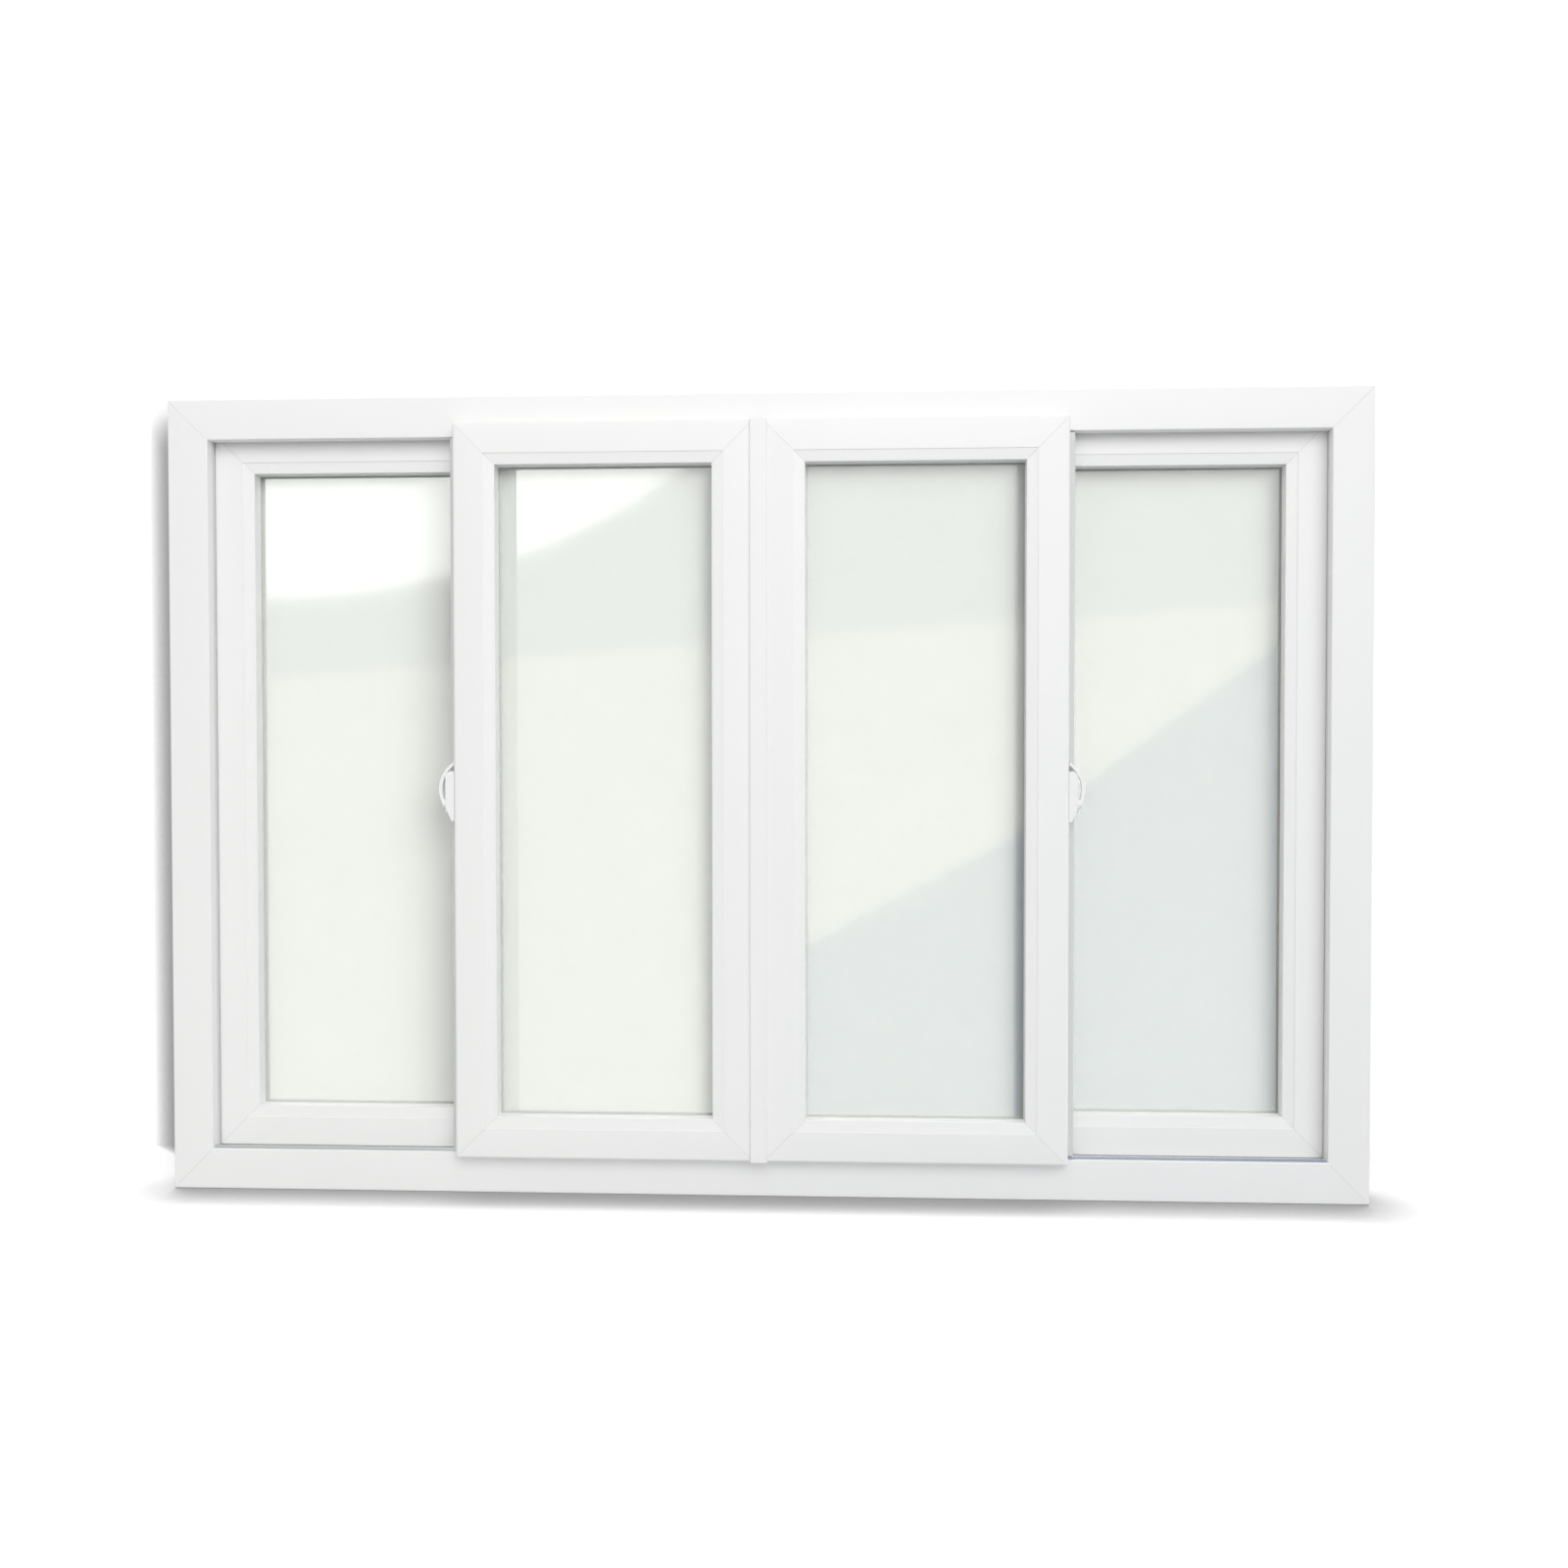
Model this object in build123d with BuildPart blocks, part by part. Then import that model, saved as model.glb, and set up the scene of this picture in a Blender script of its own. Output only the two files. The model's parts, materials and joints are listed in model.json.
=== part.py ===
"""White PVC sliding window with four double glazed sashes, seen from the room.

X runs along the sill, Y from the room to the outside and Z up.
The origin is in the middle of the sill's underside.
Profiles are drawn as u, across the window's depth, and v, inwards from a piece's outer edge.
"""

import os

from build123d import *

os.makedirs("parts", exist_ok=True)

# Outer frame
window_width = 1800
window_height = 1200
frame_face = 61
frame_wall = 3
track_floor = 38
track_ridge_width = 16
fin_thickness = 5
fin_gap = 5
frame_edge_radius = 2
ridge_edge_radius = 1

# Sashes
sash_proud = 24
sash_wall = 2.5
sash_gap = 6
groove_depth = 20
groove_clearance = 1.5
sash_frame_height = 46
bead_height = 17
sash_lip_thickness = 4
sash_edge_radius = 5
side_overlap = 4
sill_overlap = 3
head_overlap = 17
meeting_gap = 12

# Glazing
pane_thickness = 4
glass_cavity = 8
gasket_thickness = 2
gasket_height = 6.5
gasket_proud = 0.8
glass_edge_gap = 4
spacer_height = 6.5
spacer_inset = 1
packer_length = 60
packer_inset = 60
bead_wall = 1.6
bead_front_step = 1
bead_slope = 2
bead_edge_radius = 1.2
weld_gap = 0.15

# Interlocks on the stiles that pass each other
interlock_reach = 10
interlock_wall = 1.5
interlock_plug_depth = 14
interlock_lip = 1.7
interlock_lip_gap = 0.3
hook_centre_gap = 1
interlock_end_gap = 2

# Rails and rollers
rail_base_width = 9
rail_base_height = 1
rail_bead_width = 3
rail_bead_height = 3
roller_inset = 75
wheel_radius = 10
wheel_groove_depth = 2
wheel_width = 8
wheel_clearance = 0.3
axle_radius = 2
axle_clearance = 0.1
housing_length = 46
housing_wall = 2
housing_depth = 11
slot_clearance = 1.5

# Crescent locks on the outer stiles of the two front sashes
lock_height = 600
lock_body_reach = 13
lock_body_top = 38
lock_body_bottom = -36
lock_body_taper = 20
lock_body_inset = 3
lock_body_depth = 16
lock_corner_radius = 9
lever_width = 10
lever_rise = 14
lever_arch = 10
lever_thickness = 5
lever_gap = 0.3
pivot_height = -10
pivot_radius = 3
pivot_clearance = 0.2
pivot_depth = 10
hub_radius = 7
cam_radius = 13
cam_thickness = 2.7

# Cover strip between the two front sashes
strip_width = 25
strip_thickness = 3.5
strip_leg_width = 10
strip_leg_depth = 20
strip_wall = 2
strip_gap = 0.3

# Drainage on the outside of the sill and fixing holes through the frame
drain_pitch = 560
drain_slot_length = 30
drain_slot_height = 6
drain_height = 17
drain_cover_length = 44
drain_cover_height = 16
drain_cover_thickness = 4
fixing_radius = 3.25
fixing_count = 4
fixing_corner = 150
fixing_offset = 5

# Places that follow from the sizes above
groove_centre = sash_proud + track_ridge_width / 2
groove_width = track_ridge_width + 2 * groove_clearance
groove_start = groove_centre - groove_width / 2
groove_end = groove_centre + groove_width / 2
sash_thickness = groove_end + sash_wall
sash_sight = sash_frame_height + bead_height
frame_depth = 2 * sash_thickness + sash_gap + fin_gap + fin_thickness - sash_proud
frame_front = -frame_depth / 2
frame_back = frame_depth / 2
front_face = frame_front - sash_proud
rear_face = front_face + sash_thickness + sash_gap
front_track = front_face + groove_centre
rear_track = rear_face + groove_centre
clear_width = window_width - 2 * (frame_face - side_overlap)
sash_width = (clear_width + 2 * sash_sight - meeting_gap) / 4
sash_bottom = frame_face - sill_overlap
sash_top = window_height - frame_face + head_overlap
sash_height = sash_top - sash_bottom
sash_middle = (sash_bottom + sash_top) / 2
rear_centre = (clear_width - sash_width) / 2
front_centre = (meeting_gap + sash_width) / 2
glass_back = sash_thickness - sash_lip_thickness - gasket_thickness
glass_front = glass_back - 2 * pane_thickness - glass_cavity
bead_back = glass_front - gasket_thickness
ridge_half = track_ridge_width / 2
rail_top = frame_face + rail_base_height + rail_bead_height
fixing_y = front_track + ridge_half + fixing_offset
head_pitch = (window_width - 2 * fixing_corner) / (fixing_count - 1)
jamb_pitch = (window_height - 2 * fixing_corner) / (fixing_count - 1)

# Each sash: its number, the middle of its width and the place of its room face
sashes = [
    (1, -rear_centre, rear_face),
    (2, -front_centre, front_face),
    (3, front_centre, front_face),
    (4, rear_centre, rear_face),
]


def chamber(u_low, u_high, v_low, v_high):
    """A hollow in the profile being drawn."""
    with Locations((u_low, v_low)):
        Rectangle(
            u_high - u_low,
            v_high - v_low,
            align=(Align.MIN, Align.MIN),
            mode=Mode.SUBTRACT,
        )


def corner(sketch, u, v):
    """The vertex of a profile that lies at u, v."""
    at_u = sketch.vertices().filter_by_position(Axis.X, u - 0.01, u + 0.01)
    return at_u.filter_by_position(Axis.Y, v - 0.01, v + 0.01)


def frame_profile():
    """The outer frame: a hollow base with two track ridges and a weather fin."""
    front_ridge_back = front_track + ridge_half
    rear_ridge_front = rear_track - ridge_half
    rear_ridge_back = rear_track + ridge_half
    fin_front = frame_back - fin_thickness
    with BuildSketch() as profile:
        with BuildLine():
            Polyline(
                (frame_front, 0),
                (frame_back, 0),
                (frame_back, frame_face),
                (fin_front, frame_face),
                (fin_front, track_floor),
                (rear_ridge_back, track_floor),
                (rear_ridge_back, frame_face),
                (rear_ridge_front, frame_face),
                (rear_ridge_front, track_floor),
                (front_ridge_back, track_floor),
                (front_ridge_back, frame_face),
                (frame_front, frame_face),
                close=True,
            )
        make_face()
        fillet(corner(profile, frame_front, 0), frame_edge_radius)
        fillet(corner(profile, frame_front, frame_face), frame_edge_radius)
        for u in (front_ridge_back, rear_ridge_front, rear_ridge_back, fin_front):
            fillet(corner(profile, u, frame_face), ridge_edge_radius)
        ridge_top = frame_face - frame_wall
        floor_low = track_floor - frame_wall
        chamber(frame_front + frame_wall, front_ridge_back - frame_wall, frame_wall, ridge_top)
        chamber(front_ridge_back, rear_ridge_front, frame_wall, floor_low)
        chamber(rear_ridge_front + frame_wall, rear_ridge_back - frame_wall, frame_wall, ridge_top)
        chamber(rear_ridge_back, frame_back - frame_wall, frame_wall, floor_low)
    return profile.sketch


def sash_profile():
    """A sash bar: a front leg that hides the track, a groove that straddles it and a glass lip."""
    with BuildSketch() as profile:
        with BuildLine():
            Polyline(
                (0, 0),
                (groove_start, 0),
                (groove_start, groove_depth),
                (groove_end, groove_depth),
                (groove_end, 0),
                (sash_thickness, 0),
                (sash_thickness, sash_sight),
                (sash_thickness - sash_lip_thickness, sash_sight),
                (sash_thickness - sash_lip_thickness, sash_frame_height),
                (0, sash_frame_height),
                close=True,
            )
        make_face()
        fillet(corner(profile, 0, 0), sash_edge_radius)
        fillet(corner(profile, sash_thickness, sash_sight), ridge_edge_radius)
        web = groove_start - sash_wall
        chamber_top = sash_frame_height - sash_wall
        chamber(sash_wall, web, sash_wall, groove_depth)
        chamber(sash_wall, web, groove_depth + sash_wall, chamber_top)
        chamber(groove_start, groove_end, groove_depth + sash_wall, chamber_top)
    return profile.sketch


def bead_profile():
    """The snap-in glazing bead, a step behind the sash face, with a softened edge towards the glass."""
    bead_front = bead_front_step + bead_slope
    with BuildSketch() as profile:
        with BuildLine():
            Polyline(
                (bead_front_step, sash_frame_height),
                (bead_back, sash_frame_height),
                (bead_back, sash_sight),
                (bead_front, sash_sight),
                close=True,
            )
        make_face()
        fillet(corner(profile, bead_front, sash_sight), bead_edge_radius)
        chamber(
            bead_front + bead_wall,
            bead_back - bead_wall,
            sash_frame_height + bead_wall,
            sash_sight - bead_wall,
        )
    return profile.sketch


def bar_plane(origin, length_direction):
    """The plane of a bar's profile: u along +Y and v inwards, at the bar's middle."""
    return Plane(origin=origin, x_dir=(0, 1, 0), z_dir=length_direction)


def mitred_bar(place, half_length, profile, end_gap=0):
    """A length of profile whose ends are cut at 45 degrees for the corner welds."""
    along = place.z_dir
    inwards = place.y_dir
    with BuildPart() as bar:
        with BuildSketch(place):
            add(profile)
        extrude(amount=half_length, both=True)
        for end in (1, -1):
            tip = place.origin + along * end * (half_length - end_gap)
            split(bisect_by=Plane(origin=tip, z_dir=inwards + along * end), keep=Keep.BOTTOM)
    return bar.part


def ring_planes(centre_x, face_y, low, high, width):
    """The four bar planes of a rectangle, with each bar's name and half length."""
    middle = (low + high) / 2
    half_width = width / 2
    half_height = (high - low) / 2
    bottom = bar_plane((centre_x, face_y, low), (1, 0, 0))
    top = bar_plane((centre_x, face_y, high), (-1, 0, 0))
    left = bar_plane((centre_x - half_width, face_y, middle), (0, 0, -1))
    right = bar_plane((centre_x + half_width, face_y, middle), (0, 0, 1))
    return [
        ("bottom", bottom, half_width),
        ("top", top, half_width),
        ("left", left, half_height),
        ("right", right, half_height),
    ]


def save(part, label):
    """Labels a finished piece and writes its file."""
    part.label = label
    export_step(part, f"parts/{label}.step")


# Outer frame: four lengths of one profile, welded at the corners
frame_section = frame_profile()
frame_names = {
    "bottom": "frame_sill",
    "top": "frame_head",
    "left": "frame_jamb_left",
    "right": "frame_jamb_right",
}
frame_bars = {}
for side, place, half_length in ring_planes(0, 0, 0, window_height, window_width):
    frame_bars[side] = mitred_bar(place, half_length, frame_section)

# Sill: slots in the floor between the ridges, and slots from there through to the outside
with BuildPart() as frame_sill:
    add(frame_bars["bottom"])
    with BuildSketch(Plane.XZ.offset(-frame_back)):
        with Locations((0, drain_height)):
            with GridLocations(drain_pitch, 0, 3, 1):
                Rectangle(drain_slot_length, drain_slot_height)
    extrude(amount=frame_back - rear_track + ridge_half, mode=Mode.SUBTRACT)
    with BuildSketch(Plane.XY.offset(track_floor)):
        for valley in (rear_track - ridge_half, frame_back - fin_thickness):
            with Locations((0, valley - drain_slot_height)):
                with GridLocations(drain_pitch, 0, 3, 1):
                    Rectangle(drain_slot_length, drain_slot_height)
    extrude(amount=-frame_wall, mode=Mode.SUBTRACT)
save(frame_sill.part, frame_names["bottom"])

# Head, with fixing holes
with BuildPart() as frame_head:
    add(frame_bars["top"])
    with BuildSketch(Plane.XY.offset(window_height)):
        with Locations((0, fixing_y)):
            with GridLocations(head_pitch, 0, fixing_count, 1):
                Circle(fixing_radius)
    extrude(amount=-track_floor, mode=Mode.SUBTRACT)
save(frame_head.part, frame_names["top"])

# Jambs, with fixing holes
for side, hand in (("left", -1), ("right", 1)):
    with BuildPart() as frame_jamb:
        add(frame_bars[side])
        with BuildSketch(Plane.YZ.offset(hand * window_width / 2)):
            with Locations((fixing_y, window_height / 2)):
                with GridLocations(0, jamb_pitch, 1, fixing_count):
                    Circle(fixing_radius)
        extrude(amount=-hand * track_floor, mode=Mode.SUBTRACT)
    save(frame_jamb.part, frame_names[side])

# Sashes: four welded bars each, with slots for the rollers under the bottom rail
sash_section = sash_profile()
bead_section = bead_profile()
bar_names = {"bottom": "bottom_rail", "top": "top_rail", "left": "left_stile", "right": "right_stile"}
roller_shift = sash_width / 2 - roller_inset
for number, centre_x, face_y in sashes:
    planes = ring_planes(centre_x, face_y, sash_bottom, sash_top, sash_width)
    for side, place, half_length in planes:
        bar = mitred_bar(place, half_length, sash_section)
        if side == "bottom":
            with BuildPart() as bottom_rail:
                add(bar)
                ceiling = sash_bottom + groove_depth
                with BuildSketch(Plane.XY.offset(ceiling)):
                    with Locations((centre_x, face_y + groove_centre)):
                        with GridLocations(2 * roller_shift, 0, 2, 1):
                            Rectangle(
                                2 * (wheel_radius + slot_clearance),
                                wheel_width + 2 * slot_clearance,
                            )
                extrude(amount=sash_wall, mode=Mode.SUBTRACT)
            bar = bottom_rail.part
        save(bar, f"sash_{number}_{bar_names[side]}")

    # Glazing beads, one along each side of the pane
    beads = [mitred_bar(place, half, bead_section, weld_gap) for side, place, half in planes]
    save(Compound(children=beads), f"beads_{number}")

    # Two panes with a sealed cavity between them
    inner_width = sash_width - 2 * (sash_frame_height + glass_edge_gap)
    inner_height = sash_height - 2 * (sash_frame_height + glass_edge_gap)
    with BuildPart() as glass:
        for depth in (glass_front, glass_back - pane_thickness):
            with BuildSketch(Plane.XZ.offset(-(face_y + depth))):
                with Locations((centre_x, sash_middle)):
                    Rectangle(inner_width, inner_height)
            extrude(amount=-pane_thickness)
    save(glass.part, f"glass_{number}")

    # Rubber gaskets, one on each side of the glass
    sight_width = sash_width - 2 * (sash_sight + gasket_proud)
    sight_height = sash_height - 2 * (sash_sight + gasket_proud)
    with BuildPart() as gaskets:
        for depth in (bead_back, glass_back):
            with BuildSketch(Plane.XZ.offset(-(face_y + depth))):
                with Locations((centre_x, sash_middle)):
                    Rectangle(sight_width + 2 * gasket_height, sight_height + 2 * gasket_height)
                    Rectangle(sight_width, sight_height, mode=Mode.SUBTRACT)
            extrude(amount=-gasket_thickness)
    save(gaskets.part, f"gaskets_{number}")

# Packers that each glass unit stands on
with BuildPart() as packers:
    for number, centre_x, face_y in sashes:
        with BuildSketch(Plane.XY.offset(sash_bottom + sash_frame_height)):
            with Locations((centre_x, face_y + (glass_front + glass_back) / 2)):
                with GridLocations(inner_width - packer_length - 2 * packer_inset, 0, 2, 1):
                    Rectangle(packer_length, glass_back - glass_front)
        extrude(amount=glass_edge_gap)
save(packers.part, "glass_packers")

# Aluminium spacers between the panes
with BuildPart() as spacers:
    for number, centre_x, face_y in sashes:
        outer_width = inner_width - 2 * spacer_inset
        outer_height = inner_height - 2 * spacer_inset
        with BuildSketch(Plane.XZ.offset(-(face_y + glass_front + pane_thickness))):
            with Locations((centre_x, sash_middle)):
                Rectangle(outer_width, outer_height)
                Rectangle(
                    outer_width - 2 * spacer_height,
                    outer_height - 2 * spacer_height,
                    mode=Mode.SUBTRACT,
                )
        extrude(amount=-glass_cavity)
save(spacers.part, "glass_spacers")

# Interlocks: a plug in the stile's groove, a cap along its edge and a hooked lip in the gap
lip_near = interlock_lip_gap
lip_far = interlock_lip_gap + interlock_lip
hook_tip = sash_gap - lip_far - interlock_lip_gap
hook_reach = (sash_sight - hook_centre_gap) / 2
interlock_bottom = rail_top + interlock_end_gap
interlock_top = window_height - frame_face - interlock_end_gap


def interlock_profile(lip_face, gap_side):
    """The interlock of a stile whose edge is at u = 0, with v across its thickness.

    lip_face is the stile face that the lip lies along, and gap_side is 1 or -1 where the gap is.
    """
    outer_edge = groove_start if gap_side > 0 else groove_end
    with BuildSketch() as profile:
        with BuildLine():
            Polyline(
                (0, outer_edge),
                (-interlock_reach, outer_edge),
                (-interlock_reach, lip_face + gap_side * lip_far),
                (hook_reach - interlock_lip, lip_face + gap_side * lip_far),
                (hook_reach - interlock_lip, lip_face + gap_side * hook_tip),
                (hook_reach, lip_face + gap_side * hook_tip),
                (hook_reach, lip_face + gap_side * lip_near),
                (0, lip_face + gap_side * lip_near),
                close=True,
            )
        make_face()
        with Locations((0, groove_start)):
            Rectangle(interlock_plug_depth, groove_width, align=(Align.MIN, Align.MIN))
        fillet(corner(profile, -interlock_reach, outer_edge), interlock_wall)
        chamber(
            interlock_wall - interlock_reach,
            interlock_plug_depth - interlock_wall,
            groove_start + interlock_wall,
            groove_end - interlock_wall,
        )
    return profile.sketch


with BuildPart() as front_interlock:
    stile_edge = -front_centre - sash_width / 2
    with BuildSketch(Plane(origin=(stile_edge, front_face, interlock_bottom))):
        add(interlock_profile(sash_thickness, 1))
    extrude(amount=interlock_top - interlock_bottom)
with BuildPart() as rear_interlock:
    stile_edge = -rear_centre + sash_width / 2
    turned = Plane(origin=(stile_edge, rear_face, interlock_top), x_dir=(-1, 0, 0), z_dir=(0, 0, -1))
    with BuildSketch(turned):
        add(interlock_profile(0, -1))
    extrude(amount=interlock_top - interlock_bottom)
left_pair = [front_interlock.part, rear_interlock.part]
right_pair = [mirror(piece, about=Plane.YZ) for piece in left_pair]
save(Compound(children=left_pair), "interlocks_left")
save(Compound(children=right_pair), "interlocks_right")

# Rails on the sill's two ridges
rail_length = window_width - 2 * frame_face
with BuildPart() as track_rails:
    for track in (front_track, rear_track):
        with BuildSketch(Plane.YZ.offset(-rail_length / 2)):
            with Locations((track, frame_face)):
                Rectangle(rail_base_width, rail_base_height, align=(Align.CENTER, Align.MIN))
            with Locations((track, frame_face + rail_base_height)):
                straight_height = rail_bead_height - rail_bead_width / 2
                Rectangle(rail_bead_width, straight_height, align=(Align.CENTER, Align.MIN))
            with Locations((track, frame_face + rail_base_height + straight_height)):
                Circle(rail_bead_width / 2)
        extrude(amount=rail_length)
save(track_rails.part, "track_rails")


def roller_wheel(x, y, axle_height):
    """A grooved wheel and its axle, turned about the Y axis."""
    rim = wheel_width / 2
    with BuildPart() as wheel:
        with BuildSketch(Plane(origin=(x, y, axle_height), x_dir=(0, 1, 0), z_dir=(1, 0, 0))):
            with BuildLine():
                Polyline(
                    (-rim, 0),
                    (-rim, wheel_radius),
                    (0, wheel_radius - wheel_groove_depth),
                    (rim, wheel_radius),
                    (rim, 0),
                    close=True,
                )
            make_face()
        revolve(axis=Axis((x, y, axle_height), (0, 1, 0)))
        with BuildSketch(Plane.XZ.offset(-(y - rim - housing_wall - slot_clearance))):
            with Locations((x, axle_height)):
                Circle(axle_radius)
        extrude(amount=-2 * (rim + housing_wall + slot_clearance))
    return wheel.part


def roller_housing(x, y, axle_height):
    """A channel fixed under the groove's ceiling, open where the wheel passes through."""
    ceiling = sash_bottom + groove_depth
    inside = wheel_width + slot_clearance
    outside = inside + 2 * housing_wall
    with BuildPart() as housing:
        with BuildSketch(Plane.XY.offset(ceiling)):
            with Locations((x, y)):
                Rectangle(housing_length, outside)
        extrude(amount=-housing_depth)
        with BuildSketch(Plane.XY.offset(ceiling - housing_wall)):
            with Locations((x, y)):
                Rectangle(housing_length, inside)
        extrude(amount=-housing_depth, mode=Mode.SUBTRACT)
        with BuildSketch(Plane.XY.offset(ceiling)):
            with Locations((x, y)):
                Rectangle(2 * (wheel_radius + slot_clearance), inside)
        extrude(amount=-housing_wall, mode=Mode.SUBTRACT)
        with BuildSketch(Plane.XZ.offset(-(y - outside / 2))):
            with Locations((x, axle_height)):
                Circle(axle_radius + axle_clearance)
        extrude(amount=-outside, mode=Mode.SUBTRACT)
    return housing.part


axle_height = rail_top + wheel_clearance + wheel_radius - wheel_groove_depth
for row, track, centres in (
    ("front", front_track, (-front_centre, front_centre)),
    ("rear", rear_track, (-rear_centre, rear_centre)),
):
    rollers = []
    for centre_x in centres:
        for shift in (-roller_shift, roller_shift):
            rollers.append(roller_wheel(centre_x + shift, track, axle_height))
            rollers.append(roller_housing(centre_x + shift, track, axle_height))
    save(Compound(children=rollers), f"rollers_{row}")

# Crescent lock: a tapered body on the stile's edge, and a curved lever that turns with its cam
stile_edge = front_centre + sash_width / 2
lock_front = front_face + lock_body_inset
lock_plane = Plane(origin=(stile_edge, lock_front, lock_height), x_dir=(1, 0, 0), z_dir=(0, -1, 0))
pivot_plane = Plane(
    origin=(
        stile_edge + lock_body_reach,
        lock_front + lock_body_depth / 2,
        lock_height + pivot_height,
    ),
    x_dir=(0, 1, 0),
    z_dir=(1, 0, 0),
)
hub_plane = pivot_plane.offset(lever_gap)
with BuildPart() as lock_body:
    with BuildSketch(lock_plane) as body_outline:
        with BuildLine():
            Polyline(
                (0, lock_body_top),
                (0, lock_body_bottom),
                (lock_body_reach / 3, lock_body_bottom),
                (lock_body_reach, lock_body_bottom + lock_body_taper),
                (lock_body_reach, lock_body_top),
                close=True,
            )
        make_face()
        top_corner = body_outline.vertices().sort_by(Axis.Y)[-2:].sort_by(Axis.X)[-1]
        fillet(top_corner, lock_corner_radius)
    extrude(amount=-lock_body_depth)
    with BuildSketch(pivot_plane):
        Circle(pivot_radius + pivot_clearance)
    extrude(amount=-pivot_depth, mode=Mode.SUBTRACT)
with BuildPart() as lock_lever:
    with BuildSketch(lock_plane.offset(-(lock_body_depth - lever_width) / 2)):
        with BuildLine():
            foot = lock_body_reach + lever_gap
            bulge_height = lock_body_top / 2
            lever_top = lock_body_top + lever_rise
            lever_bulge = lock_body_reach + lever_arch
            inner_low = (foot, pivot_height)
            inner_bulge = (lever_bulge - lever_thickness, bulge_height)
            inner_high = (1, lever_top - lever_thickness)
            outer_low = (foot + lever_thickness, pivot_height)
            outer_high = (1, lever_top)
            ThreePointArc(outer_low, (lever_bulge, bulge_height), outer_high)
            Line(outer_high, inner_high)
            ThreePointArc(inner_high, inner_bulge, inner_low)
            Line(inner_low, outer_low)
        make_face()
    extrude(amount=-lever_width)
    with BuildSketch(hub_plane):
        Circle(hub_radius)
    extrude(amount=lever_thickness)
    with BuildSketch(hub_plane):
        Circle(cam_radius)
        Rectangle(cam_radius, 2 * cam_radius, align=(Align.MAX, Align.CENTER), mode=Mode.SUBTRACT)
    extrude(amount=cam_thickness)
    with BuildSketch(hub_plane):
        Circle(pivot_radius)
    extrude(amount=-pivot_depth)
lock_pieces = [lock_body.part, lock_lever.part]
save(Compound(children=[mirror(piece, about=Plane.YZ) for piece in lock_pieces]), "lock_left")
save(Compound(children=lock_pieces), "lock_right")

# Cover strip, carried by the left of the two meeting stiles
with BuildPart() as meeting_strip:
    with BuildSketch(Plane.XY.offset(sash_bottom)) as strip_section:
        strip_back = front_face - strip_gap
        with Locations((0, strip_back)):
            RectangleRounded(
                strip_width,
                2 * strip_thickness,
                strip_thickness / 2,
                align=(Align.CENTER, Align.CENTER),
            )
            Rectangle(
                strip_width,
                2 * strip_thickness,
                align=(Align.CENTER, Align.MIN),
                mode=Mode.SUBTRACT,
            )
        with Locations((-meeting_gap / 2, strip_back)):
            Rectangle(strip_leg_width, strip_leg_depth, align=(Align.MIN, Align.MIN))
        chamber(
            strip_wall - meeting_gap / 2,
            strip_leg_width - strip_wall - meeting_gap / 2,
            strip_back + strip_wall,
            strip_back + strip_leg_depth - strip_wall,
        )
    extrude(amount=sash_height)
save(meeting_strip.part, "meeting_strip")

# Covers over the drainage slots, open below
with BuildPart() as drain_covers:
    with BuildSketch(Plane.XZ.offset(-frame_back)):
        with Locations((0, drain_height)):
            with GridLocations(drain_pitch, 0, 3, 1):
                Rectangle(drain_cover_length, drain_cover_height)
    extrude(amount=-drain_cover_thickness)
    outside_edges = drain_covers.faces().filter_by(Axis.Y).group_by(Axis.Y)[-1].edges()
    chamfer(outside_edges, drain_cover_thickness / 2)
    with BuildSketch(Plane.XZ.offset(-frame_back)):
        with Locations((0, drain_height - frame_wall)):
            with GridLocations(drain_pitch, 0, 3, 1):
                Rectangle(drain_slot_length, drain_cover_height)
    extrude(amount=-drain_cover_thickness / 2, mode=Mode.SUBTRACT)
save(drain_covers.part, "drain_covers")
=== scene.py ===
import json
import math

import bmesh
import bpy
import numpy as np
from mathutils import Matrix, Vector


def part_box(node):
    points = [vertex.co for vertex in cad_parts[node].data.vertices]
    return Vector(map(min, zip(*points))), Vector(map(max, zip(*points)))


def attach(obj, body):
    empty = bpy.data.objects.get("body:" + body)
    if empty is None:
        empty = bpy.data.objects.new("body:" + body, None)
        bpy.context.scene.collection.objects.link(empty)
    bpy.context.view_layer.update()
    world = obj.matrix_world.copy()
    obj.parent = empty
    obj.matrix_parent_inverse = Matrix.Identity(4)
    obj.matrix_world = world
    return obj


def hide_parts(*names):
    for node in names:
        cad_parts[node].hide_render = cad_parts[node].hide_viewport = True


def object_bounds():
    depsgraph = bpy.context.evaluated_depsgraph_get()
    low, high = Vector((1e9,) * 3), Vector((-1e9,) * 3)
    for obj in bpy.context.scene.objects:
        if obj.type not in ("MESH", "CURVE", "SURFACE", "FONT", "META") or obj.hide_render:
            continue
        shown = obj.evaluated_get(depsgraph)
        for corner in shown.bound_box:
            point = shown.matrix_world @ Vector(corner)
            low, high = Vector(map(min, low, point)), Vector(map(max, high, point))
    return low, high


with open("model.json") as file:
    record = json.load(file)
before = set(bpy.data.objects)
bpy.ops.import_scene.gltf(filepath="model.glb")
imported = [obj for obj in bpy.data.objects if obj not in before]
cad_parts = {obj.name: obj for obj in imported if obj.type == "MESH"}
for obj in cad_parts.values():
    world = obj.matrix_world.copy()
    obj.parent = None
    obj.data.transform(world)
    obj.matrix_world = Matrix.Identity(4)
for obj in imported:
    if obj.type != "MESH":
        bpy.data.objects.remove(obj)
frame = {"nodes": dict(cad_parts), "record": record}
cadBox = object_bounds()
nodes = frame["nodes"]
print("frame loaded with", len(nodes), "nodes")


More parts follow.
